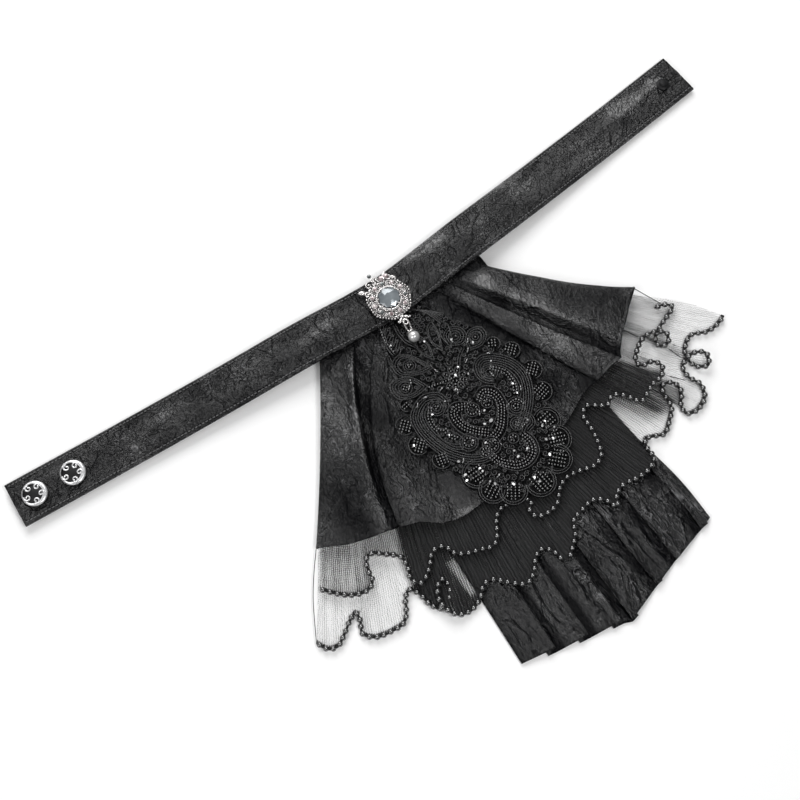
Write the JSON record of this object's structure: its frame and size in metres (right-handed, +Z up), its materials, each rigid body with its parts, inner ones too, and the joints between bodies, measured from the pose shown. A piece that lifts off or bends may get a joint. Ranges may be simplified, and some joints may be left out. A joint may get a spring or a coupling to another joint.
{
  "type": "embroidered jabot collar",
  "caption": "Black jabot neck collar lying flat: shiny band with snaps, cloth flounce over beaded net ruffles and a pleated tail, corded applique and a brooch with a pearl drop",
  "frame": {"origin": "middle of the bounding box in plan, on the surface the collar lies on", "axes": "+X runs along the neck band from the snap caps to the stud, -Y points down the jabot to the tail, +Z is up from the surface"},
  "size_m": [0.4178, 0.2326, 0.0159],
  "materials": {
    "band_cloth": "crinkled coated cloth, satin sheen",
    "flounce_cloth": "crinkled coated cloth, satin sheen",
    "tail_cloth": "pleated and crinkled coated cloth",
    "net": "fine open net",
    "cord": "twisted cord and seed beads on net",
    "bead": "polished black",
    "snap_metal": "openwork ring over a black dome",
    "black_metal": "black enamel",
    "brooch_metal": "cast and beaded silver-coloured metal with clear stones",
    "stone": "faceted pale grey stone",
    "pearl": "pearl lustre"
  },
  "bodies": {
    "root": {"neck_band": "band_cloth", "flounce": "flounce_cloth", "tail": "tail_cloth", "net_upper": "net", "net_lower": "net", "applique": "cord", "beads_upper_left": "bead", "beads_upper_right": "bead", "beads_lower_left": "bead", "beads_lower_right": "bead", "snap_1": "snap_metal", "snap_2": "snap_metal", "snap_stud": "black_metal", "brooch_frame": "brooch_metal", "brooch_stone": "stone", "brooch_drop": "brooch_metal", "pearl": "pearl"}
  },
  "joints": []
}
